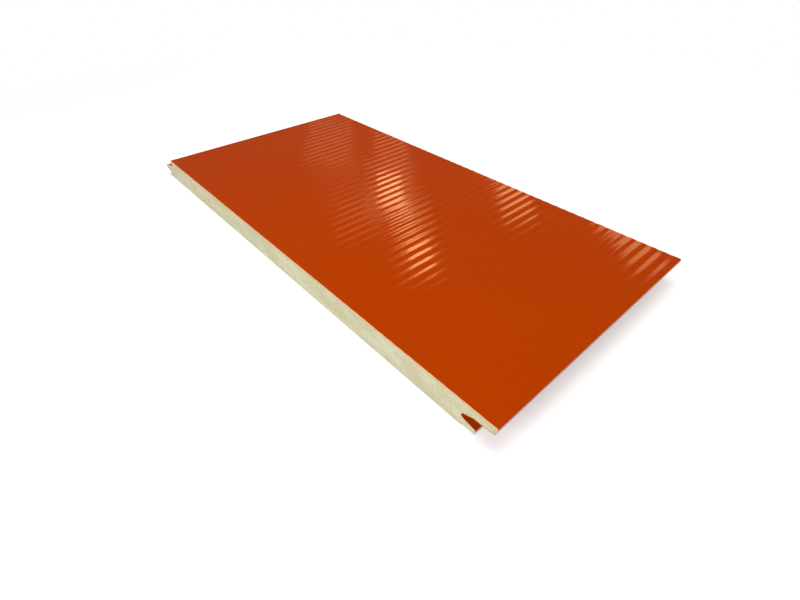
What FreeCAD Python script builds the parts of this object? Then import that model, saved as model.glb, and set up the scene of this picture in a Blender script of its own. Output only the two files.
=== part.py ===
"""Insulated sandwich panel: a cut length of micro-wave wall panel with a hidden tongue-and-groove joint.

A rigid foam core is faced with a folded outer steel sheet and a folded inner steel sheet.
The sections are drawn with x = 0 at the tongue-side edge of the outer face, z = 0 at its wave crests,
and are extruded along y. Each body is then moved so that the frame's origin is at the bottom centre.
"""
import FreeCAD, Part
import math
import os
import re
import Sketcher

# Driving dimensions, in millimetres. Reaches run in from the groove-side edge of the outer face,
# and drops run down from the wave crests.
SIZES = {
    "panel_length": 500.0,
    "panel_thickness": 50.0,
    "face_width": 998.0,
    "joint_gap": 2.0,
    "outer_gauge": 0.5,
    "inner_gauge": 0.4,
    "outer_bend": 1.5,
    "inner_bend": 1.0,
    "wave_pitch": 20.0,
    "wave_height": 0.55,
    "wave_radius": 30.0,
    "least_edge_flat": 8.0,
    "ridge_root": 1.0,
    "lip_nose": 5.0,
    "lip_height": 16.0,
    "lip_undercut": 2.5,
    "roof_reach": 36.0,
    "roof_drop": 18.5,
    "apex_reach": 53.0,
    "apex_drop": 25.0,
    "heel_reach": 55.0,
    "heel_drop": 30.0,
    "floor_reach": 50.0,
    "floor_drop": 33.0,
    "ledge_reach": 29.5,
    "ledge_drop": 37.5,
    "ledge_hem": 3.0,
    "recess_height": 4.0,
    "recess_slope": 2.0,
    "recess_reach": 51.0,
    "tongue_play": 9.0,
    "tongue_clearance": 0.8,
    "slot_play": 2.0,
    "flange_reach": 38.0,
}


def linked(expression):
    """The expression with each driving dimension's name led by its spreadsheet."""
    return re.sub(r"[a-z_]+", lambda word: "Sizes." + word[0] if word[0] in SIZES else word[0], expression)


def fill_spreadsheet(doc):
    sheet = doc.addObject("Spreadsheet::Sheet", "Sizes")
    for row, (name, value) in enumerate(SIZES.items(), start=1):
        sheet.set("A%d" % row, name)
        sheet.set("B%d" % row, str(value))
        sheet.setAlias("B%d" % row, name)
    doc.recompute()
    return sheet


def value_of(sheet, expression):
    return float(sheet.evalExpression(linked(expression)))


# Corners of the folded sheets' outer sides, each an expression in the driving dimensions.
# Every path has the foam on its right-hand side.
WAVE_COUNT = "floor((face_width - 2 * least_edge_flat) / wave_pitch)"
EDGE_FLAT = "(face_width - %s * wave_pitch) / 2" % WAVE_COUNT
TONGUE_SHIFT = "tongue_play - joint_gap"
TONGUE_REACH = "heel_reach - (%s)" % TONGUE_SHIFT
SLOT_ROOT = "slot_play - joint_gap - ledge_reach"
WAVE_START = EDGE_FLAT
WAVE_END = "%s + wave_pitch" % EDGE_FLAT

GROOVE_PATH = [
    ("face_width - %s" % EDGE_FLAT, "0"),
    ("face_width", "0"),
    ("face_width", "-lip_nose"),
    ("face_width - lip_undercut", "-lip_height"),
    ("face_width - roof_reach", "-roof_drop"),
    ("face_width - apex_reach", "-apex_drop"),
    ("face_width - heel_reach", "-heel_drop"),
    ("face_width - floor_reach", "-floor_drop"),
    ("face_width - ledge_reach", "-ledge_drop"),
    ("face_width - ledge_reach", "-ledge_drop - ledge_hem"),
]

TONGUE_PATH = [
    (SLOT_ROOT, "tongue_clearance - ledge_drop"),
    ("%s - floor_reach" % TONGUE_SHIFT, "tongue_clearance - floor_drop"),
    ("-(%s)" % TONGUE_REACH, "tongue_clearance - heel_drop"),
    ("-(%s)" % TONGUE_REACH, "-tongue_clearance - apex_drop"),
    ("%s - roof_reach" % TONGUE_SHIFT, "-tongue_clearance - roof_drop"),
    ("-lip_undercut", "-tongue_clearance - lip_height"),
    ("0", "-lip_nose"),
    ("0", "0"),
    (EDGE_FLAT, "0"),
]

INNER_PATH = [
    ("face_width - ledge_reach", "recess_height + ledge_hem - panel_thickness"),
    ("face_width - ledge_reach", "recess_height - panel_thickness"),
    ("face_width - recess_reach", "recess_height - panel_thickness"),
    ("face_width - recess_reach - recess_slope", "-panel_thickness"),
    ("-flange_reach", "-panel_thickness"),
    ("-flange_reach", "recess_height - tongue_clearance - panel_thickness"),
    (SLOT_ROOT, "recess_height - tongue_clearance - panel_thickness"),
]

# Each facing that shapes the foam: its path, gauge and inside bend radius, in order round the section.
FACINGS = [
    (TONGUE_PATH, "outer_gauge", "outer_bend"),
    (GROOVE_PATH, "outer_gauge", "outer_bend"),
    (INNER_PATH, "inner_gauge", "inner_bend"),
]

# The level the foam's waves stand on, below their troughs.
RIDGE_FOOT = "-outer_gauge - wave_height - ridge_root"


class Section:
    """A sketch in a body's XZ plane, whose corners are tied to the spreadsheet."""

    def __init__(self, body, name, sheet):
        self.body = body
        self.sheet = sheet
        self.sketch = body.newObject("Sketcher::SketchObject", name)
        plane = next(f for f in body.Origin.OriginFeatures if f.Role == "XZ_Plane")
        self.sketch.AttachmentSupport = [(plane, "")]
        self.sketch.MapMode = "FlatFace"

    def point(self, corner):
        """A corner's place at the present sizes."""
        return FreeCAD.Vector(value_of(self.sheet, corner[0]), value_of(self.sheet, corner[1]), 0)

    def line(self, start, end, construction=False):
        return self.sketch.addGeometry(Part.LineSegment(start, end), construction)

    def join(self, first, second):
        """Joins the end of one line to the start of the next."""
        self.sketch.addConstraint(Sketcher.Constraint("Coincident", first, 2, second, 1))

    def hold(self, kind, geometry, end, expression):
        """Holds one coordinate of a geometry's start (1), end (2) or centre (3) at an expression."""
        if expression == "0":
            axis = -2 if kind == "DistanceX" else -1
            self.sketch.addConstraint(Sketcher.Constraint("PointOnObject", geometry, end, axis))
            return
        value = value_of(self.sheet, expression)
        index = self.sketch.addConstraint(Sketcher.Constraint(kind, -1, 1, geometry, end, value))
        self.sketch.setExpression("Constraints[%d]" % index, linked(expression))

    def tie(self, geometry, end, corner):
        """Holds a geometry's start, end or centre at a corner given by expressions."""
        self.hold("DistanceX", geometry, end, corner[0])
        self.hold("DistanceY", geometry, end, corner[1])

    def outer_side(self, path, construction):
        """Straight lines through the path's corners."""
        points = [self.point(corner) for corner in path]
        lines = [self.line(a, b, construction) for a, b in zip(points, points[1:])]
        for first, second in zip(lines, lines[1:]):
            self.join(first, second)
        for geometry, corner in zip(lines, path):
            self.tie(geometry, 1, corner)
        self.tie(lines[-1], 2, path[-1])
        return lines

    def foam_side(self, path, gauge, outer_lines):
        """Lines parallel to the outer side, one gauge to its right."""
        points = offset_corners([self.point(corner) for corner in path], value_of(self.sheet, gauge))
        lines = [self.line(a, b) for a, b in zip(points, points[1:])]
        for first, second in zip(lines, lines[1:]):
            self.join(first, second)
        for inner, outer in zip(lines, outer_lines):
            self.sketch.addConstraint(Sketcher.Constraint("Parallel", inner, outer))
            index = self.sketch.addConstraint(
                Sketcher.Constraint("Distance", inner, 1, outer, value_of(self.sheet, gauge)))
            self.sketch.setExpression("Constraints[%d]" % index, linked(gauge))
        return lines

    def close(self, outer, outer_end, inner, inner_end, construction=False):
        """A line from a point of the painted side to a point of the foam side."""
        start = self.sketch.getPoint(outer, outer_end)
        cap = self.line(start, self.sketch.getPoint(inner, inner_end), construction)
        self.sketch.addConstraint(Sketcher.Constraint("Coincident", cap, 1, outer, outer_end))
        self.sketch.addConstraint(Sketcher.Constraint("Coincident", cap, 2, inner, inner_end))
        return cap

    def square_end(self, outer, inner, end, construction=False):
        """Closes a sheet's cut end at right angles to its faces."""
        cap = self.close(outer, end, inner, end, construction)
        self.sketch.addConstraint(Sketcher.Constraint("Perpendicular", cap, outer))

    def bridge(self, first, second, corners=()):
        """Lines from the end of one curve to the start of another, by way of the given corners."""
        points = [self.sketch.getPoint(first, 2)]
        points += [self.point(corner) for corner in corners]
        points += [self.sketch.getPoint(second, 1)]
        lines = [self.line(a, b) for a, b in zip(points, points[1:])]
        for before, after in zip([first] + lines, lines + [second]):
            self.join(before, after)
        for geometry, corner in zip(lines, corners):
            self.tie(geometry, 2, corner)

    def flank(self, first, first_end, second, second_end, construction):
        """A straight line that runs tangent from an end of one arc to an end of another."""
        start = self.sketch.getPoint(first, first_end)
        line = self.line(start, self.sketch.getPoint(second, second_end), construction)
        self.sketch.addConstraint(Sketcher.Constraint("Tangent", first, first_end, line, 1))
        self.sketch.addConstraint(Sketcher.Constraint("Tangent", line, 2, second, second_end))
        return line

    def wave_side(self, depth, construction):
        """One wave from crest to crest, a depth below the outer surface: three arcs joined by two flanks."""
        half_pitch = value_of(self.sheet, "wave_pitch") / 2
        height = value_of(self.sheet, "wave_height")
        radius = value_of(self.sheet, "wave_radius")
        start = value_of(self.sheet, WAVE_START)
        rise = 2 * radius - height
        slope = math.atan2(half_pitch, rise) - math.acos(2 * radius / math.hypot(half_pitch, rise))
        up, down = math.pi / 2, -math.pi / 2
        arcs = []
        for centre_x, level, size, first, last in (
                (start, -radius, radius - depth, up - slope, up),
                (start + half_pitch, radius - height, radius + depth, down - slope, down + slope),
                (start + 2 * half_pitch, -radius, radius - depth, up, up + slope)):
            circle = Part.Circle(FreeCAD.Vector(centre_x, level, 0), FreeCAD.Vector(0, 0, 1), size)
            arcs.append(self.sketch.addGeometry(Part.ArcOfCircle(circle, first, last), construction))
        crest, trough, next_crest = arcs
        falling = self.flank(crest, 1, trough, 1, construction)
        rising = self.flank(trough, 2, next_crest, 2, construction)
        return [crest, falling, trough, rising, next_crest]

    def outer_wave(self, construction):
        """The wave's painted side."""
        side = self.wave_side(0, construction)
        crest, _, trough, _, next_crest = side
        self.tie(crest, 2, (WAVE_START, "0"))
        self.tie(next_crest, 1, (WAVE_END, "0"))
        self.hold("DistanceX", crest, 3, WAVE_START)
        self.hold("DistanceX", next_crest, 3, WAVE_END)
        self.tie(trough, 3, ("%s + wave_pitch / 2" % WAVE_START, "wave_radius - wave_height"))
        index = self.sketch.addConstraint(
            Sketcher.Constraint("Radius", trough, value_of(self.sheet, "wave_radius")))
        self.sketch.setExpression("Constraints[%d]" % index, linked("wave_radius"))
        self.sketch.addConstraint(Sketcher.Constraint("Equal", trough, crest))
        self.sketch.addConstraint(Sketcher.Constraint("Equal", trough, next_crest))
        return side

    def foam_wave(self, outer):
        """The wave's foam side, one gauge below its painted side."""
        side = self.wave_side(value_of(self.sheet, "outer_gauge"), construction=False)
        for inner_arc, outer_arc in zip(side[::2], outer[::2]):
            self.sketch.addConstraint(Sketcher.Constraint("Coincident", inner_arc, 3, outer_arc, 3))
        for inner_flank, outer_flank in zip(side[1::2], outer[1::2]):
            self.sketch.addConstraint(Sketcher.Constraint("Parallel", inner_flank, outer_flank))
        self.tie(side[0], 2, (WAVE_START, "-outer_gauge"))
        self.hold("DistanceX", side[-1], 1, WAVE_END)
        return side

    def pad(self, name):
        feature = self.body.newObject("PartDesign::Pad", name)
        feature.Profile = self.sketch
        feature.Reversed = True
        feature.setExpression("Length", linked("panel_length"))
        return feature


def offset_corners(points, gauge):
    """The corners of a path moved one gauge to its right, with mitred joints and square ends."""
    directions = [(b - a).normalize() for a, b in zip(points, points[1:])]
    normals = [FreeCAD.Vector(d.y, -d.x, 0) for d in directions]
    moved = [points[0] + normals[0] * gauge]
    for point, before, after in zip(points[1:], normals, normals[1:]):
        mitre = before + after
        moved.append(point + mitre * (gauge / (1 + before.dot(after))))
    moved.append(points[-1] + normals[-1] * gauge)
    return moved


def bends(points, gauge):
    """Each bend of a path as its outer corner, its foam-side corner and whether it closes on the foam."""
    moved = offset_corners(points, gauge)
    for index in range(1, len(points) - 1):
        before = points[index] - points[index - 1]
        after = points[index + 1] - points[index]
        turn = before.x * after.y - before.y * after.x
        yield points[index], moved[index], turn < 0


def edges_along_y(shape, corners):
    """Names of the shape's straight y-wise edges that stand on the given section corners."""
    names = []
    for index, edge in enumerate(shape.Edges, start=1):
        ends = [vertex.Point for vertex in edge.Vertexes]
        if len(ends) < 2 or abs(ends[0].y - ends[1].y) < 1:
            continue
        if any(math.hypot(ends[0].x - c.x, ends[0].z - c.y) < 0.01 for c in corners):
            names.append("Edge%d" % index)
    if len(names) != len(corners):
        raise RuntimeError("%d edges found for %d corners" % (len(names), len(corners)))
    return names


def round_corners(body, base, name, corners, radius):
    feature = body.newObject("PartDesign::Fillet", name)
    feature.Base = (base, edges_along_y(base.Shape, corners))
    feature.setExpression("Radius", linked(radius))
    body.Document.recompute()
    return feature


def bend_corners(section, path, gauge, foam_only=False):
    """Corners of a path's bends, as those rounded to the bend radius and those rounded a gauge more."""
    tight, wide = [], []
    points = [section.point(corner) for corner in path]
    for outer, inner, closes_on_foam in bends(points, value_of(section.sheet, gauge)):
        for_inner, for_outer = (tight, wide) if closes_on_foam else (wide, tight)
        for_inner.append(inner)
        if not foam_only:
            for_outer.append(outer)
    return tight, wide


def fold_strip(body, name, path, gauge, sheet):
    """Pads one folded strip of sheet, with sharp corners."""
    section = Section(body, name + "_section", sheet)
    outer = section.outer_side(path, construction=False)
    inner = section.foam_side(path, gauge, outer)
    section.square_end(outer[0], inner[0], 1)
    section.square_end(outer[-1], inner[-1], 2)
    section.pad(name)
    body.Document.recompute()
    return section


def repeat_wave(section, pad_name, pattern_name):
    """Pads one wave and repeats it across the face."""
    body = section.body
    pad = section.pad(pad_name)
    body.Document.recompute()
    pattern = body.newObject("PartDesign::LinearPattern", pattern_name)
    pattern.Originals = [pad]
    pattern.Direction = (section.sketch, ["H_Axis"])
    pattern.setExpression("Length", linked("(%s - 1) * wave_pitch" % WAVE_COUNT))
    pattern.setExpression("Occurrences", linked(WAVE_COUNT))
    body.Tip = pattern
    body.Document.recompute()
    return pattern


def new_body(doc, name):
    body = doc.addObject("PartDesign::Body", name)
    body.Label = name
    body.setExpression("Placement.Base.x", linked("(%s - face_width) / 2" % TONGUE_REACH))
    body.setExpression("Placement.Base.y", linked("-panel_length / 2"))
    body.setExpression("Placement.Base.z", linked("panel_thickness"))
    return body


def make_outer_sheet(doc, sheet):
    """Prepainted steel: the waved face, folded round the groove at one edge and the tongue at the other."""
    body = new_body(doc, "outer_sheet")
    wave = Section(body, "wave_section", sheet)
    painted = wave.outer_wave(construction=False)
    backed = wave.foam_wave(painted)
    wave.close(painted[0], 2, backed[0], 2)
    wave.close(painted[-1], 1, backed[-1], 1)
    repeat_wave(wave, "wave", "waves")

    tight, wide = [], []
    for name, path in (("groove_fold", GROOVE_PATH), ("tongue_fold", TONGUE_PATH)):
        section = fold_strip(body, name, path, "outer_gauge", sheet)
        strip_tight, strip_wide = bend_corners(section, path, "outer_gauge")
        tight += strip_tight
        wide += strip_wide
    inside = round_corners(body, body.Tip, "inside_bends", tight, "outer_bend")
    round_corners(body, inside, "outside_bends", wide, "outer_bend + outer_gauge")
    return body


def make_inner_sheet(doc, sheet):
    """Prepainted steel: the flat inner face, stepped up under the ledge, with a flange below the tongue."""
    body = new_body(doc, "inner_sheet")
    section = fold_strip(body, "inner_fold", INNER_PATH, "inner_gauge", sheet)
    tight, wide = bend_corners(section, INNER_PATH, "inner_gauge")
    inside = round_corners(body, body.Tip, "inside_bends", tight, "inner_bend")
    round_corners(body, inside, "outside_bends", wide, "inner_bend + inner_gauge")
    return body


def make_foam_core(doc, sheet):
    """Rigid foam that fills the space between the sheets and takes the wave from the outer one."""
    body = new_body(doc, "foam_core")
    core = Section(body, "core_section", sheet)
    foam_lines, corners = [], []
    for path, gauge, bend in FACINGS:
        outer = core.outer_side(path, construction=True)
        inner = core.foam_side(path, gauge, outer)
        core.square_end(outer[0], inner[0], 1, construction=True)
        core.square_end(outer[-1], inner[-1], 2, construction=True)
        foam_lines.append(inner)
        tight, wide = bend_corners(core, path, gauge, foam_only=True)
        corners += [(tight, bend), (wide, "%s + %s" % (bend, gauge))]
    tongue, groove, inner_face = foam_lines
    wave_field = [(WAVE_START, RIDGE_FOOT), ("face_width - %s" % EDGE_FLAT, RIDGE_FOOT)]
    core.bridge(tongue[-1], groove[0], wave_field)
    core.bridge(groove[-1], inner_face[0])
    core.bridge(inner_face[-1], tongue[0])
    core.pad("core")
    doc.recompute()

    ridge = Section(body, "ridge_section", sheet)
    curve = ridge.foam_wave(ridge.outer_wave(construction=True))
    ridge.bridge(curve[0], curve[-1], [(WAVE_START, RIDGE_FOOT), (WAVE_END, RIDGE_FOOT)])
    feature = repeat_wave(ridge, "ridge", "ridges")
    for number, (places, radius) in enumerate(corners):
        if places:
            feature = round_corners(body, feature, "bends_%d" % number, places, radius)
    return body


def check(doc, bodies):
    """Stops the script if a feature failed or a piece isn't one sound solid."""
    for item in doc.Objects:
        if {"Invalid", "Error"} & set(item.State):
            raise RuntimeError("%s failed: %s" % (item.Name, item.State))
    for body in bodies:
        if body.Shape.isNull() or not body.Shape.isValid() or len(body.Shape.Solids) != 1:
            raise RuntimeError("%s isn't one valid solid" % body.Label)


def main():
    doc = FreeCAD.newDocument("insulated_sandwich_panel")
    sheet = fill_spreadsheet(doc)
    bodies = [make(doc, sheet) for make in (make_outer_sheet, make_inner_sheet, make_foam_core)]
    doc.recompute()
    check(doc, bodies)
    os.makedirs("parts", exist_ok=True)
    for body in bodies:
        print("%s: %.0f mm3" % (body.Label, body.Shape.Volume))
        body.Shape.exportStep("parts/%s.step" % body.Label)


main()
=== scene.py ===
"""Looks of an insulated sandwich panel: a waved outer sheet, a sawn foam core and a flat inner sheet.

Lengths are in metres. Sections are drawn with x = 0 at the tongue-side edge of the outer face and z = 0 at
its wave crests, and are moved into the frame when a piece is finished.
"""
import math

import bmesh
import bpy
from bpy.props import FloatProperty, FloatVectorProperty, PointerProperty
from mathutils import Matrix, Vector, noise


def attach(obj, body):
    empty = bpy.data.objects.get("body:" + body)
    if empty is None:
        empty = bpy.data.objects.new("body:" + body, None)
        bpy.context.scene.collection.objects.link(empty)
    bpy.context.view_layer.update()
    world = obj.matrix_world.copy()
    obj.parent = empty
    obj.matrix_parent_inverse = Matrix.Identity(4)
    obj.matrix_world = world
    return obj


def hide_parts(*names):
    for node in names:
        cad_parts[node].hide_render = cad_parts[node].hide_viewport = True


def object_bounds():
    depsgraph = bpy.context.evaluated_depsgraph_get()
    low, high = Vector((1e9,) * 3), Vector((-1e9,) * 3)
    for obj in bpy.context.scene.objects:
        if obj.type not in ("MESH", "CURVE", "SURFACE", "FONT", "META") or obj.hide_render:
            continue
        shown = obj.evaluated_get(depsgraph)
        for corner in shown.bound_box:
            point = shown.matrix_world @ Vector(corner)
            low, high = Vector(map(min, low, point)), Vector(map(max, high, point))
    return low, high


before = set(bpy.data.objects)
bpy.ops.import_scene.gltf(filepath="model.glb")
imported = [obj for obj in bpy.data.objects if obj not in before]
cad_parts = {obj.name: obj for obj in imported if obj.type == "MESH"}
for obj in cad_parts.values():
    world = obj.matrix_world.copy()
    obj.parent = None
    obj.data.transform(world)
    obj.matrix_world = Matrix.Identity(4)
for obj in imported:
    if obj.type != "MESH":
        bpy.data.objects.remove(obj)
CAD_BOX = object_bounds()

bl_info = {
    "name": "Insulated Sandwich Panel",
    "version": (1, 0, 0),
    "blender": (4, 5, 0),
    "location": "View3D > Sidebar > Panel",
    "description": "Builds the visible pieces of a waved wall panel with a tongue-and-groove joint",
    "category": "Object",
}

BODY = "root"
CAD_SIZE = [high - low for low, high in zip(*CAD_BOX)]
TONGUE_REACH = 0.048


def length(name, description, default):
    return FloatProperty(name=name, description=description, default=default, unit="LENGTH", precision=5)


def colour(name, description, default):
    return FloatVectorProperty(name=name, description=description, default=default, size=3,
                               subtype="COLOR", min=0.0, max=1.0)


class PanelSizes(bpy.types.PropertyGroup):
    """Sizes of the panel's section.

    Reaches run in from the groove-side edge, but the tongue's and the flange's run out from the tongue-side
    one. Drops run down from the crests.
    """
    panel_length: length("Panel length", "Length along the waves", CAD_SIZE[1])
    thickness: length("Thickness", "From the inner face to the wave crests", CAD_SIZE[2])
    tongue_reach: length("Tongue reach", "How far the tongue stands out from the face's edge", TONGUE_REACH)
    face_width: length("Face width", "Width of the outer face", CAD_SIZE[0] - TONGUE_REACH)
    outer_gauge: length("Outer gauge", "Thickness of the outer sheet", 0.0005)
    inner_gauge: length("Inner gauge", "Thickness of the inner sheet", 0.0004)
    outer_bend: length("Outer bend", "Inside radius of the outer sheet's folds", 0.0015)
    inner_bend: length("Inner bend", "Inside radius of the inner sheet's folds", 0.001)
    wave_pitch: length("Wave pitch", "Distance from crest to crest", 0.020)
    wave_height: length("Wave height", "Depth of a trough below the crests", 0.00055)
    wave_radius: length("Wave radius", "Radius of the crests and troughs, which straight flanks join", 0.030)
    edge_flat: length("Edge flat", "Flat strip between the waves and each edge of the face", 0.009)
    lip_nose: length("Lip nose", "Height of the lip's upright nose", 0.005)
    lip_height: length("Lip height", "Height of the lip over the groove", 0.016)
    lip_undercut: length("Lip undercut", "How far the lip leans in at its foot", 0.0025)
    roof_reach: length("Roof reach", "Reach of the bend in the groove's roof", 0.036)
    roof_drop: length("Roof drop", "Drop of the bend in the groove's roof", 0.0185)
    apex_reach: length("Apex reach", "Reach of the top of the groove's end", 0.053)
    apex_drop: length("Apex drop", "Drop of the top of the groove's end", 0.025)
    heel_reach: length("Heel reach", "Reach of the foot of the groove's end", 0.055)
    heel_drop: length("Heel drop", "Drop of the foot of the groove's end", 0.030)
    floor_reach: length("Floor reach", "Reach of the bend in the groove's floor", 0.050)
    floor_drop: length("Floor drop", "Drop of the bend in the groove's floor", 0.033)
    ledge_reach: length("Ledge reach", "Reach of the ledge's outer end", 0.0295)
    ledge_drop: length("Ledge drop", "Drop of the ledge's upper corner", 0.0375)
    ledge_hem: length("Ledge hem", "How far each sheet turns over the ledge's end", 0.003)
    recess_height: length("Recess height", "Step of the inner sheet under the ledge", 0.004)
    recess_slope: length("Recess slope", "Width of that step", 0.002)
    recess_reach: length("Recess reach", "Reach of the step's top", 0.051)
    joint_gap: length("Joint gap", "Gap between two panels' faces", 0.002)
    tongue_clearance: length("Tongue clearance", "Room above and below the tongue in the groove", 0.0008)
    slot_play: length("Slot play", "Room past the ledge in the slot", 0.002)
    flange_reach: length("Flange reach", "How far the hemmed flange stands out from the face's edge", 0.038)
    saw_recess: length("Saw recess", "How far the sawn foam lies behind the sheets' cut edges", 0.0004)
    void_depth: length("Void depth", "Depth of the largest voids in the sawn foam", 0.0012)


class PanelColours(bpy.types.PropertyGroup):
    """Colours of the finishes, as linear values."""
    outer_coat: colour("Outer coat", "Orange-red coil coating", (0.518, 0.052, 0.0))
    outer_coat_dark: colour("Outer coat, dark", "Its darker tone", (0.500, 0.048, 0.0))
    inner_coat: colour("Inner coat", "Off-white coil coating", (0.80, 0.79, 0.74))
    # The outer cut edge is lighter than the orange coating: painted highlight standing in for the glint of
    # the bare sawn steel.
    outer_cut_painted_glint: colour("Outer cut edge", "Sawn edge of the outer sheet, smeared with coating",
                      (0.80, 0.42, 0.18))
    inner_cut: colour("Inner cut edge", "Sawn edge of the inner sheet, smeared with coating",
                      (0.78, 0.77, 0.70))
    foam: colour("Foam", "Sawn rigid foam", (0.630, 0.595, 0.385))
    foam_pale: colour("Foam, pale", "Its paler streaks", (0.715, 0.690, 0.505))
    foam_skin: colour("Foam skin", "The warmer, denser foam against the outer sheet", (0.80, 0.56, 0.30))
    foam_pore: colour("Foam pores", "The shaded inside of open cells", (0.42, 0.37, 0.20))
    floor: colour("Floor", "Studio floor", (0.82, 0.82, 0.82))


class StageSettings(bpy.types.PropertyGroup):
    """The studio's camera and lamps."""
    azimuth: FloatProperty(name="Azimuth", description="Camera's direction round the panel",
                           default=math.radians(47.96), subtype="ANGLE")
    elevation: FloatProperty(name="Elevation", description="Camera's height angle",
                             default=math.radians(41.01), subtype="ANGLE")
    lens: FloatProperty(name="Lens", description="Focal length on a 36 mm sensor, in millimetres",
                        default=19.97)
    sky: FloatProperty(name="Sky", description="Brightness of the dim ceiling", default=0.16)
    floor_glow: FloatProperty(name="Floor glow", description="What the bare floor adds to its own picture",
                              default=0.44)
    lamp_scale: FloatProperty(name="Lamp scale", description="Multiplies every lamp", default=1.0)


# ---------------------------------------------------------------- sections

def groove_path(sizes):
    """Corners of the outer sheet from the waves to the ledge's hem, on its painted side."""
    edge = sizes.face_width
    return [
        (edge - sizes.edge_flat, 0),
        (edge, 0),
        (edge, -sizes.lip_nose),
        (edge - sizes.lip_undercut, -sizes.lip_height),
        (edge - sizes.roof_reach, -sizes.roof_drop),
        (edge - sizes.apex_reach, -sizes.apex_drop),
        (edge - sizes.heel_reach, -sizes.heel_drop),
        (edge - sizes.floor_reach, -sizes.floor_drop),
        (edge - sizes.ledge_reach, -sizes.ledge_drop),
        (edge - sizes.ledge_reach, -sizes.ledge_drop - sizes.ledge_hem),
    ]


def tongue_path(sizes):
    """Corners of the outer sheet from below the tongue to the waves, on its painted side.

    They are the groove's corners, moved to the other edge and drawn in by the tongue's clearance.
    """
    shift = sizes.heel_reach - sizes.tongue_reach
    play = sizes.tongue_clearance
    return [
        (slot_root(sizes), play - sizes.ledge_drop),
        (shift - sizes.floor_reach, play - sizes.floor_drop),
        (-sizes.tongue_reach, play - sizes.heel_drop),
        (-sizes.tongue_reach, -play - sizes.apex_drop),
        (shift - sizes.roof_reach, -play - sizes.roof_drop),
        (-sizes.lip_undercut, -play - sizes.lip_height),
        (0, -sizes.lip_nose),
        (0, 0),
        (sizes.edge_flat, 0),
    ]


def inner_path(sizes):
    """Corners of the inner sheet from the ledge's hem to the flange's, on its painted side."""
    edge, base = sizes.face_width, -sizes.thickness
    flange_top = base + sizes.recess_height - sizes.tongue_clearance
    return [
        (edge - sizes.ledge_reach, base + sizes.recess_height + sizes.ledge_hem),
        (edge - sizes.ledge_reach, base + sizes.recess_height),
        (edge - sizes.recess_reach, base + sizes.recess_height),
        (edge - sizes.recess_reach - sizes.recess_slope, base),
        (-sizes.flange_reach, base),
        (-sizes.flange_reach, flange_top),
        (slot_root(sizes), flange_top),
    ]


def slot_root(sizes):
    """Where the slot below the tongue ends, past the next panel's ledge."""
    return sizes.slot_play - sizes.joint_gap - sizes.ledge_reach


def turn_at(before, corner, after):
    """The angle a path turns through at a corner, to the left as positive."""
    first, second = Vector(corner) - Vector(before), Vector(after) - Vector(corner)
    return math.atan2(first.x * second.y - first.y * second.x, first.dot(second))


def foam_side(path, gauge):
    """The path moved one gauge to its right, with mitred corners."""
    points = [Vector(point) for point in path]
    normals = [Vector((b.y - a.y, a.x - b.x)).normalized() for a, b in zip(points, points[1:])]
    moved = [points[0] + normals[0] * gauge]
    for point, before, after in zip(points[1:], normals, normals[1:]):
        moved.append(point + (before + after) * gauge / (1 + before.dot(after)))
    moved.append(points[-1] + normals[-1] * gauge)
    return [tuple(point) for point in moved]


# Steps in half a crest's arc, and the run of the short strip that starts each straight flank.
ARC_STEPS = 3
FLANK_EASE = 0.0004


def wave_profile(sizes):
    """Points of one wave from crest to crest, as run and drop: arcs joined by straight flanks."""
    radius, half = sizes.wave_radius, sizes.wave_pitch / 2
    centre_rise = 2 * radius - sizes.wave_height
    slope = math.atan2(half, centre_rise) - math.acos(2 * radius / math.hypot(half, centre_rise))
    turns = [slope * step / ARC_STEPS for step in range(ARC_STEPS + 1)]
    quarter = [(radius * math.sin(turn), radius * (1 - math.cos(turn))) for turn in turns]
    run, drop = quarter[-1]
    quarter.append((run + FLANK_EASE, drop + FLANK_EASE * math.tan(slope)))
    half_wave = quarter + [(half - run, sizes.wave_height - drop) for run, drop in reversed(quarter)]
    return half_wave + [(2 * half - run, drop) for run, drop in reversed(half_wave[:-1])]


# ---------------------------------------------------------------- modelling

# How far each strip of a fold turns, the least turn that is rounded, and how near is the same place.
BEND_STEP = math.radians(13)
LEAST_TURN = math.radians(1)
SAME_PLACE = 1e-5
# Rows of faces along the outer sheet, and the angles past which an edge looks sharp.
FACE_ROWS = 24
SHEET_SHARP = math.radians(40)
FOAM_SHARP = math.radians(50)


def swept(path, run, closed=False):
    """A bmesh of flat strips: the path's corners joined up and drawn along y."""
    bm = bmesh.new()
    verts = [bm.verts.new((x, -run / 2, z)) for x, z in path]
    pairs = list(zip(verts, verts[1:])) + ([(verts[-1], verts[0])] if closed else [])
    edges = [bm.edges.new(pair) for pair in pairs]
    drawn = bmesh.ops.extrude_edge_only(bm, edges=edges)["geom"]
    far_verts = [part for part in drawn if isinstance(part, bmesh.types.BMVert)]
    bmesh.ops.translate(bm, verts=far_verts, vec=(0, run, 0))
    return bm


def runs_along_y(edge):
    first, second = (vert.co for vert in edge.verts)
    return abs(first.x - second.x) < SAME_PLACE and abs(first.z - second.z) < SAME_PLACE


def round_edge(bm, corner, radius, turn):
    """Rounds the y-wise edge at a corner to a radius."""
    x, z = corner

    def at_corner(edge):
        start = edge.verts[0].co
        return math.hypot(start.x - x, start.z - z) < SAME_PLACE

    edge = next(edge for edge in bm.edges if runs_along_y(edge) and at_corner(edge))
    bmesh.ops.bevel(bm, geom=[edge], offset=radius * math.tan(turn / 2), offset_type="OFFSET",
                    segments=max(2, round(turn / BEND_STEP)), profile=0.5, affect="EDGES",
                    material=-1, clamp_overlap=False)


def fold(bm, path, bend, gauge, on_foam=False):
    """Rounds the corners of a sheet's path, where its painted side lies or where the foam meets it."""
    corners = foam_side(path, gauge) if on_foam else path
    for before, at, after, corner in zip(path, path[1:], path[2:], corners[1:]):
        turn = turn_at(before, at, after)
        outside = (turn < 0) != on_foam
        if abs(turn) > LEAST_TURN:
            round_edge(bm, corner, bend + gauge if outside else bend, abs(turn))


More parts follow.
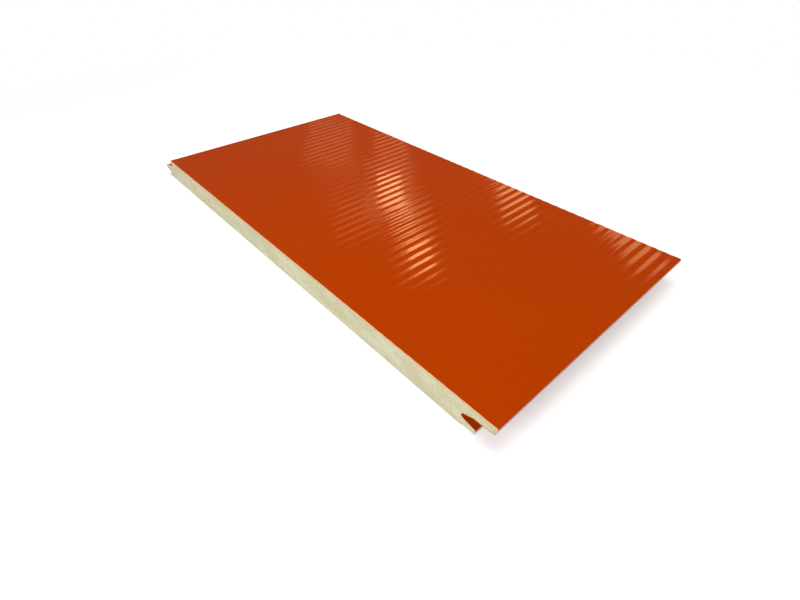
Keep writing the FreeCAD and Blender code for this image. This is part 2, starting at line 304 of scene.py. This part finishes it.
def wave_face(bm, sizes, level):
    """Divides the flat strip between the edge flats and drops it into waves below a level."""
    profile = wave_profile(sizes)
    steps = len(profile) - 1
    start, end = sizes.edge_flat, sizes.face_width - sizes.edge_flat

    def at_level(vert):
        return abs(vert.co.z - level) < SAME_PLACE

    def spans_face(edge):
        first, second = edge.verts
        return abs(abs(first.co.x - second.co.x) - (end - start)) < SAME_PLACE

    across = [edge for edge in bm.edges if all(map(at_level, edge.verts)) and spans_face(edge)]
    waves = round((end - start) / sizes.wave_pitch)
    bmesh.ops.subdivide_edges(bm, edges=across, cuts=waves * steps - 1, use_grid_fill=True)
    for vert in bm.verts:
        if at_level(vert) and start < vert.co.x < end:
            wave, step = divmod(round((vert.co.x - start) / sizes.wave_pitch * steps), steps)
            run, drop = profile[step]
            vert.co.x = start + wave * sizes.wave_pitch + run
            vert.co.z -= drop


def face_out(bm, upward):
    """Turns a sheet so that its widest face looks up or down."""
    widest = max(bm.faces, key=lambda face: face.calc_area())
    if (widest.normal.z > 0) != upward:
        bmesh.ops.reverse_faces(bm, faces=bm.faces)


def frame_mesh(name, bm, sizes):
    """A mesh of a section-frame bmesh, moved into the frame."""
    bmesh.ops.translate(bm, verts=bm.verts,
                        vec=((sizes.tongue_reach - sizes.face_width) / 2, 0, sizes.thickness))
    mesh = bpy.data.meshes.new(name)
    bm.to_mesh(mesh)
    bm.free()
    return mesh


def in_scene(name, data):
    thing = bpy.data.objects.new(name, data)
    bpy.context.scene.collection.objects.link(thing)
    return thing


def make_piece(name, bm, sizes, materials, replaced):
    """A riding piece from a section-frame bmesh."""
    mesh = frame_mesh(name, bm, sizes)
    for material in materials:
        mesh.materials.append(material)
    mesh.shade_smooth()
    piece = in_scene(name, mesh)
    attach(piece, BODY)
    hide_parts(replaced)
    return piece


def apply_modifiers(piece):
    """Keeps what the modifiers make as the piece's own mesh."""
    bpy.context.view_layer.update()
    made = bpy.data.meshes.new_from_object(piece.evaluated_get(bpy.context.evaluated_depsgraph_get()))
    old = piece.data
    name = old.name
    piece.modifiers.clear()
    piece.data = made
    bpy.data.meshes.remove(old)
    made.name = name


def thicken(piece, gauge):
    """Gives a sheet its gauge behind the painted side, with cut edges in the second material."""
    solid = piece.modifiers.new("Gauge", "SOLIDIFY")
    solid.thickness = gauge
    solid.offset = -1
    solid.use_even_offset = True
    solid.material_offset_rim = 1
    apply_modifiers(piece)
    piece.data.set_sharp_from_angle(angle=SHEET_SHARP)


def foam_block(sizes):
    """The foam's closed section drawn along the panel, with rounded folds, waves and flat ends."""
    outer = (sizes.outer_bend, sizes.outer_gauge)
    inner = (sizes.inner_bend, sizes.inner_gauge)
    chains = [(tongue_path(sizes), *outer), (groove_path(sizes), *outer), (inner_path(sizes), *inner)]
    outline = [point for path, _, gauge in chains for point in foam_side(path, gauge)]
    bm = swept(outline, sizes.panel_length, closed=True)
    for path, bend, gauge in chains:
        fold(bm, path, bend, gauge, on_foam=True)
    wave_face(bm, sizes, -sizes.outer_gauge)
    for side in (-1, 1):
        rim = [edge for edge in bm.edges
               if edge.is_boundary and all(vert.co.y * side > 0 for vert in edge.verts)]
        bmesh.ops.edgeloop_fill(bm, edges=rim)
    bmesh.ops.recalc_face_normals(bm, faces=bm.faces)
    return bm


# The spacing of the saw slab's grid, and how far the slab stands past the section.
SAW_PITCH = 0.0015
SAW_MARGIN = 0.004
# Voids in each metre across and up, their least radius and the most that it grows, both as shares of
# their spacing, and how flat their bottoms are.
VOIDS_ACROSS = 95
VOIDS_UP = 62
VOID_RADIUS = 0.10
VOID_GROWTH = 0.16
VOID_FLATNESS = 1.6
# The scale, for each metre, of the noise that lets voids grow.
DRIFT_SCALE = 60
# The saw's wander to each side of its middle, and its scale as a share of that noise's.
SAW_WANDER = 0.00012
WANDER_SCALE = 0.6
# How far each end is moved through the noise, one each way, so that the two differ.
VOID_SHIFT = 3.1
DRIFT_SHIFT = 7.3


def saw_relief(x, z, sizes, side):
    """How deep a sawn face lies at a point: open voids and the saw's slight wander."""
    drift = Vector((x * DRIFT_SCALE, side * DRIFT_SHIFT, z * DRIFT_SCALE))
    cell = Vector((x * VOIDS_ACROSS, side * VOID_SHIFT, z * VOIDS_UP))
    distances, _ = noise.voronoi(cell, distance_metric="DISTANCE")
    void = max(0.0, 1 - distances[0] / (VOID_RADIUS + VOID_GROWTH * max(0.0, noise.noise(drift))))
    wander = SAW_WANDER * (1 + noise.noise(drift * WANDER_SCALE))
    return sizes.saw_recess + sizes.void_depth * min(1.0, VOID_FLATNESS * void) + wander


def saw_slab(sizes):
    """A slab whose two end faces carry the saw's relief, bridged round its sides.

    Its faces are triangles, because bent ones would leave slivers where they cross the foam's sides.
    """
    bm = bmesh.new()
    width = sizes.face_width + sizes.tongue_reach + 2 * SAW_MARGIN
    height = sizes.thickness + 2 * SAW_MARGIN
    centre = Vector(((sizes.face_width - sizes.tongue_reach) / 2, 0, -sizes.thickness / 2))
    stretch = Matrix.Diagonal((width, height, 1, 1))
    for side in (-1, 1):
        turned = Matrix.Translation(centre) @ Matrix.Rotation(math.radians(90 * side), 4, "X")
        grid = bmesh.ops.create_grid(bm, x_segments=round(width / SAW_PITCH),
                                     y_segments=round(height / SAW_PITCH),
                                     size=0.5, matrix=turned @ stretch)["verts"]
        for vert in grid:
            relief = saw_relief(vert.co.x, vert.co.z, sizes, side)
            vert.co.y = side * (sizes.panel_length / 2 - relief)
    rims = [edge for edge in bm.edges if edge.is_boundary]
    bmesh.ops.bridge_loops(bm, edges=rims)
    bmesh.ops.triangulate(bm, faces=bm.faces)
    bmesh.ops.recalc_face_normals(bm, faces=bm.faces)
    return bm


# ---------------------------------------------------------------- materials

class Value:
    """A shader value. Arithmetic on it adds Math nodes."""

    def __init__(self, paint, socket):
        self.paint = paint
        self.socket = socket

    def math(self, operation, first, second):
        return self.paint.add("ShaderNodeMath", {"operation": operation}, {0: first, 1: second})

    def __add__(self, other):
        return self.math("ADD", self, other)

    def __radd__(self, other):
        return self.math("ADD", other, self)

    def __sub__(self, other):
        return self.math("SUBTRACT", self, other)

    def __rsub__(self, other):
        return self.math("SUBTRACT", other, self)

    def __mul__(self, other):
        return self.math("MULTIPLY", self, other)

    def __rmul__(self, other):
        return self.math("MULTIPLY", other, self)

    def at_most(self, limit):
        return self.math("MINIMUM", self, limit)

    def between(self, low, high):
        """0 at low, 1 at high, smooth and clamped."""
        return self.paint.add("ShaderNodeMapRange", {"interpolation_type": "SMOOTHSTEP"},
                              {"Value": self, "From Min": low, "From Max": high})


class Paint:
    """The nodes of a material or the world, under construction."""

    def __init__(self, owner, coordinates="Object"):
        owner.use_nodes = True
        self.owner = owner
        self.tree = owner.node_tree
        self.tree.nodes.clear()
        self.place = self.add("ShaderNodeTexCoord", output=coordinates)

    def add(self, kind, settings=None, inputs=None, output=0):
        """One output of a new node, from its type, its settings and the values or links of its sockets."""
        node = self.tree.nodes.new(kind)
        for name, setting in (settings or {}).items():
            setattr(node, name, setting)
        for name, value in (inputs or {}).items():
            if isinstance(value, Value):
                self.tree.links.new(value.socket, node.inputs[name])
            else:
                node.inputs[name].default_value = value
        return Value(self, node.outputs[output]) if node.outputs else None

    def stretched(self, *scale):
        return self.add("ShaderNodeMapping", {"vector_type": "POINT"}, {"Vector": self.place, "Scale": scale})

    def noise(self, scale, detail=3.0, roughness=0.5, vector=None):
        return self.add("ShaderNodeTexNoise", {"noise_dimensions": "3D"},
                        {"Vector": vector or self.place, "Scale": scale, "Detail": detail,
                         "Roughness": roughness})

    def cells(self, scale):
        return self.add("ShaderNodeTexVoronoi", {"feature": "F1"}, {"Vector": self.place, "Scale": scale},
                        output="Distance")

    def blend(self, factor, first, second):
        """A colour between two colours."""
        return self.add("ShaderNodeMix", {"data_type": "RGBA", "clamp_factor": True},
                        {"Factor": factor, 6: first, 7: second}, output=2)

    def part(self, axis):
        """One part of the place."""
        return self.add("ShaderNodeSeparateXYZ", None, {"Vector": self.place}, output=axis)

    def bump(self, height, distance, strength=1.0):
        return self.add("ShaderNodeBump", None,
                        {"Height": height, "Distance": distance, "Strength": strength}, output="Normal")

    def emission(self, rgba, strength):
        return self.add("ShaderNodeEmission", None, {"Color": rgba, "Strength": strength})

    def mix_shader(self, factor, first, second):
        return self.add("ShaderNodeMixShader", None, {"Fac": factor, 1: first, 2: second})

    def principled(self, **sockets):
        """The finished material of a Principled shader, from socket names with underscores for spaces."""
        inputs = {name.replace("_", " "): value for name, value in sockets.items()}
        return self.finish(self.add("ShaderNodeBsdfPrincipled", None, inputs))

    def finish(self, shader, output="ShaderNodeOutputMaterial"):
        self.add(output, None, {"Surface": shader})
        return self.owner


def opaque(rgb, dimmed=1.0):
    """A colour with full alpha, dimmed as a whole."""
    return (*(part * dimmed for part in rgb), 1.0)


WHITE = (1.0, 1.0, 1.0, 1.0)


def outer_coat(colours):
    """Satin coil coating: an even film with a faint orange peel and roller streaks along the waves."""
    paint = Paint(bpy.data.materials.new("outer_coat"))
    drift = paint.noise(3.2, detail=4.0)
    streaks = paint.noise(1.0, detail=5.0, vector=paint.stretched(160.0, 2.2, 160.0))
    tone = (drift * 0.6 + streaks * 0.4).between(0.35, 0.68)
    film = paint.noise(520.0, detail=2.0, roughness=0.4)
    return paint.principled(
        Base_Color=paint.blend(tone, opaque(colours.outer_coat_dark), opaque(colours.outer_coat)),
        Roughness=streaks * 0.025 + 0.07,
        Normal=paint.bump(film, 0.000006),
        Specular_IOR_Level=0.085,
        Specular_Tint=(1.0, 0.66, 0.16, 1.0),
    )


def inner_coat(colours):
    """Off-white coil coating, matter than the outer one."""
    paint = Paint(bpy.data.materials.new("inner_coat"))
    drift = paint.noise(4.0, detail=4.0)
    streaks = paint.noise(1.0, detail=4.0, vector=paint.stretched(190.0, 1.6, 190.0))
    tone = (drift * 0.5 + streaks * 0.5).between(0.35, 0.65)
    film = paint.noise(480.0, detail=2.0, roughness=0.4)
    return paint.principled(
        Base_Color=paint.blend(tone, opaque(colours.inner_coat, 0.95), opaque(colours.inner_coat)),
        Roughness=streaks * 0.08 + 0.34,
        Normal=paint.bump(film, 0.00002),
    )


def cut_edge(name, rgb):
    """A sheet's sawn edge with saw marks across the gauge: steel under smeared coating on the inner sheet,
    painted highlight on the outer.
    """
    paint = Paint(bpy.data.materials.new(name))
    marks = paint.noise(1.0, detail=3.0, vector=paint.stretched(1800.0, 200.0, 600.0))
    return paint.principled(
        Base_Color=paint.blend(marks.between(0.3, 0.7), opaque(rgb, 0.75), opaque(rgb)),
        Roughness=marks * 0.2 + 0.4,
        Normal=paint.bump(marks, 0.00005),
        Metallic=0.25,
    )


# The skin fades in over these depths below the outer sheet, with a ragged edge.
SKIN_START = 0.009
SKIN_FULL = 0.002
SKIN_RAGGEDNESS = 0.003


def sawn_foam(colours, sizes):
    """Rigid foam: fine cells, open pores, cloudy pale streaks and a warmer skin under the outer sheet."""
    paint = Paint(bpy.data.materials.new("sawn_foam"))
    clouds = paint.noise(1.0, detail=5.0, vector=paint.stretched(22.0, 22.0, 55.0))
    blotches = paint.noise(130.0, detail=2.0, roughness=0.6)
    grain = paint.noise(420.0, detail=3.0, roughness=0.6)
    fine_cells = paint.cells(900.0)
    pores = 1 - paint.cells(165.0).between(0.10, 0.28)
    pore = opaque(colours.foam_pore)

    tone = (clouds * 0.65 + blotches * 0.35).between(0.38, 0.62)
    clouded = paint.blend(tone, opaque(colours.foam), opaque(colours.foam_pale))
    foam_top = sizes.thickness - sizes.outer_gauge
    skin = (paint.part("Z") + blotches * SKIN_RAGGEDNESS).between(foam_top - SKIN_START, foam_top - SKIN_FULL)
    skinned = paint.blend(skin * 0.8, clouded, opaque(colours.foam_skin))
    grained = paint.blend(grain.between(0.40, 0.80) * 0.35, skinned, pore)
    height = fine_cells * 0.35 + grain * 0.4 - pores * 0.9
    return paint.principled(
        Base_Color=paint.blend(pores * 0.6, grained, pore),
        Roughness=0.9,
        Normal=paint.bump(height, 0.0004, strength=0.8),
        Specular_IOR_Level=0.2,
    )


# ---------------------------------------------------------------- pieces

class PANEL_OT_outer_sheet(bpy.types.Operator):
    """Fold the waved outer sheet round the groove and the tongue"""
    bl_idname = "panel.outer_sheet"
    bl_label = "Outer Sheet"

    def execute(self, context):
        sizes, colours = context.scene.panel_sizes, context.scene.panel_colours
        path = tongue_path(sizes) + groove_path(sizes)
        bm = swept(path, sizes.panel_length)
        fold(bm, path, sizes.outer_bend, sizes.outer_gauge)
        face_out(bm, upward=True)
        wave_face(bm, sizes, 0.0)
        lengthwise = [edge for edge in bm.edges if runs_along_y(edge)]
        bmesh.ops.subdivide_edges(bm, edges=lengthwise, cuts=FACE_ROWS - 1, use_grid_fill=True)
        # The outer cut edge's light colour is painted highlight.
        materials = [outer_coat(colours), cut_edge("outer_cut_edge", colours.outer_cut_painted_glint)]
        piece = make_piece("outer_sheet_painted", bm, sizes, materials, "outer_sheet")
        thicken(piece, sizes.outer_gauge)
        return {"FINISHED"}


class PANEL_OT_inner_sheet(bpy.types.Operator):
    """Fold the flat inner sheet under the ledge and back as the flange"""
    bl_idname = "panel.inner_sheet"
    bl_label = "Inner Sheet"

    def execute(self, context):
        sizes, colours = context.scene.panel_sizes, context.scene.panel_colours
        path = inner_path(sizes)
        bm = swept(path, sizes.panel_length)
        fold(bm, path, sizes.inner_bend, sizes.inner_gauge)
        face_out(bm, upward=False)
        materials = [inner_coat(colours), cut_edge("inner_cut_edge", colours.inner_cut)]
        piece = make_piece("inner_sheet_painted", bm, sizes, materials, "inner_sheet")
        thicken(piece, sizes.inner_gauge)
        return {"FINISHED"}


class PANEL_OT_foam_core(bpy.types.Operator):
    """Shape the foam core and saw its two ends"""
    bl_idname = "panel.foam_core"
    bl_label = "Foam Core"

    def execute(self, context):
        sizes, colours = context.scene.panel_sizes, context.scene.panel_colours
        materials = [sawn_foam(colours, sizes)]
        piece = make_piece("foam_core_sawn", foam_block(sizes), sizes, materials, "foam_core")
        cutter = in_scene("saw_slab", frame_mesh("saw_slab", saw_slab(sizes), sizes))
        sawn = piece.modifiers.new("Sawn ends", "BOOLEAN")
        sawn.operation = "INTERSECT"
        sawn.solver = "EXACT"
        sawn.object = cutter
        apply_modifiers(piece)
        slab_mesh = cutter.data
        bpy.data.objects.remove(cutter)
        bpy.data.meshes.remove(slab_mesh)
        piece.data.shade_smooth()
        piece.data.set_sharp_from_angle(angle=FOAM_SHARP)
        return {"FINISHED"}


# ---------------------------------------------------------------- stage

CAMERA_PLACE = (0.6609, -0.5274, 0.4985)
SENSOR_WIDTH = 36
NEAREST_SEEN = 0.01

# Place, what it faces, size, watts and tint.
FILL_LAMPS = {
    "overhead": ((0.1, -0.1, 2.4), (0, 0, 0), (1.6, 1.6), 30.0, (0.98, 1.0, 1.02)),
    "front_fill": ((0.3, -2.4, 1.1), (0, 0, 0), (2.2, 1.4), 33.0, (1, 1, 1)),
    "side_fill": ((2.2, -0.9, 0.55), (0.4, 0, 0), (1.4, 0.8), 9.0, (1, 1, 1)),
    "back_fill": ((-0.2, 2.3, 0.35), (0, 0, 0.03), (2.4, 0.5), 17.0, (1, 1, 1)),
}
# Place, size, turn in degrees and watts. They face straight down and show in the gloss of the waves.
CEILING_LAMPS = (
    ((-1.355, 1.330, 1.25), (0.46, 0.17), -38.5, 6.7),
    ((-1.400, 1.350, 1.25), (0.80, 0.32), -38.5, 2.4),
    ((-1.840, 1.760, 1.25), (0.60, 0.26), -38.5, 1.4),
    ((-1.375, 2.480, 1.25), (0.75, 0.26), -48.0, 4.9),
    ((-0.280, 2.385, 1.25), (0.60, 0.24), -48.0, 3.1),
    ((-2.225, 1.430, 1.25), (0.80, 0.36), -38.5, 1.7),
)
CEILING_TINT = (1.0, 0.6, 0.32)

# The sky turns from white to dim between these heights of a direction.
HORIZON = (-0.01, 0.12)
SKY_TINT = (1.0, 0.98, 0.88)
FLOOR_HALF = 9.0
# What shows of the floor turns plain white between these distances from the panel's middle.
FLOOR_FADE = (0.8, 1.8)
FLOOR_GRAIN = (0.8, 0.8, 0.8, 1.0)
GLOW_TINT = (0.97, 1.0, 1.0, 1.0)


def area_lamp(name, place, rotation, size, watts, tint):
    data = bpy.data.lights.new(name, "AREA")
    data.shape = "RECTANGLE"
    data.size, data.size_y = size
    data.energy = watts
    data.color = tint
    lamp = in_scene(name, data)
    lamp.location = place
    lamp.rotation_euler = rotation
    lamp.visible_camera = False


def light_studio(scale):
    """Soft fills round the panel and small lamps on the ceiling."""
    for name, (place, target, size, watts, tint) in FILL_LAMPS.items():
        towards = Vector(target) - Vector(place)
        area_lamp(name, place, towards.to_track_quat("-Z", "Y").to_euler(), size, watts * scale, tint)
    for number, (place, size, turn, watts) in enumerate(CEILING_LAMPS):
        rotation = (0, 0, math.radians(turn))
        area_lamp(f"ceiling_{number}", place, rotation, size, watts * scale, CEILING_TINT)


def studio_floor(colours, stage):
    """A pale floor that shows as white where no shadow falls."""
    paint = Paint(bpy.data.materials.new("studio_floor"))
    tone = paint.blend(paint.noise(30.0, detail=2.0) * 0.02, opaque(colours.floor), FLOOR_GRAIN)
    matte = paint.add("ShaderNodeBsdfDiffuse", None, {"Color": tone})
    glow = paint.emission(GLOW_TINT, stage.floor_glow)
    lit = paint.add("ShaderNodeAddShader", None, {0: matte, 1: glow})
    distance = paint.add("ShaderNodeVectorMath", {"operation": "LENGTH"}, {0: paint.place}, output="Value")
    shown = paint.mix_shader(distance.between(*FLOOR_FADE), lit, paint.emission(WHITE, 1.0))
    camera, gloss, glass = (paint.add("ShaderNodeLightPath", output=ray)
                            for ray in ("Is Camera Ray", "Is Glossy Ray", "Is Transmission Ray"))
    return paint.finish(paint.mix_shader((camera + gloss + glass).at_most(1.0), matte, shown))


def surround(stage):
    """A white horizon under a dimmer ceiling."""
    paint = Paint(bpy.data.worlds.new("surround"), coordinates="Generated")
    ceiling = opaque(SKY_TINT, dimmed=stage.sky)
    level = paint.blend(paint.part("Z").between(*HORIZON), WHITE, ceiling)
    return paint.finish(paint.add("ShaderNodeBackground", None, {"Color": level}), "ShaderNodeOutputWorld")


class PANEL_OT_stage(bpy.types.Operator):
    """Set the floor, the soft lamps and the camera"""
    bl_idname = "panel.stage"
    bl_label = "Stage"

    def execute(self, context):
        scene = context.scene
        stage = scene.panel_stage
        bm = bmesh.new()
        bmesh.ops.create_grid(bm, x_segments=1, y_segments=1, size=FLOOR_HALF)
        mesh = bpy.data.meshes.new("studio_floor")
        bm.to_mesh(mesh)
        bm.free()
        mesh.materials.append(studio_floor(scene.panel_colours, stage))
        floor = in_scene("studio_floor", mesh)

        scene.world = surround(stage)
        light_studio(stage.lamp_scale)

        data = bpy.data.cameras.new("camera")
        data.lens = stage.lens
        data.sensor_width = SENSOR_WIDTH
        data.clip_start = NEAREST_SEEN
        camera = in_scene("camera", data)
        camera.location = CAMERA_PLACE
        camera.rotation_euler = (math.pi / 2 - stage.elevation, 0, stage.azimuth)
        scene.camera = camera
        scene.view_settings.view_transform = "Standard"
        return {"FINISHED"}


OPERATORS = (PANEL_OT_outer_sheet, PANEL_OT_inner_sheet, PANEL_OT_foam_core, PANEL_OT_stage)


class PANEL_PT_sidebar(bpy.types.Panel):
    """Sizes, colours and buttons of the sandwich panel"""
    bl_idname = "PANEL_PT_sidebar"
    bl_label = "Sandwich Panel"
    bl_space_type = "VIEW_3D"
    bl_region_type = "UI"
    bl_category = "Panel"

    def draw(self, context):
        for group in (context.scene.panel_sizes, context.scene.panel_colours, context.scene.panel_stage):
            box = self.layout.box()
            for name in group.__annotations__:
                box.prop(group, name)
        for operator in OPERATORS:
            self.layout.operator(operator.bl_idname)


CLASSES = (PanelSizes, PanelColours, StageSettings, *OPERATORS, PANEL_PT_sidebar)


def register():
    for cls in CLASSES:
        bpy.utils.register_class(cls)
    bpy.types.Scene.panel_sizes = PointerProperty(type=PanelSizes)
    bpy.types.Scene.panel_colours = PointerProperty(type=PanelColours)
    bpy.types.Scene.panel_stage = PointerProperty(type=StageSettings)


def unregister():
    del bpy.types.Scene.panel_sizes
    del bpy.types.Scene.panel_colours
    del bpy.types.Scene.panel_stage
    for cls in reversed(CLASSES):
        bpy.utils.unregister_class(cls)


def main():
    register()
    bpy.ops.panel.outer_sheet()
    bpy.ops.panel.inner_sheet()
    bpy.ops.panel.foam_core()
    bpy.ops.panel.stage()


if __name__ == "__main__":
    main()
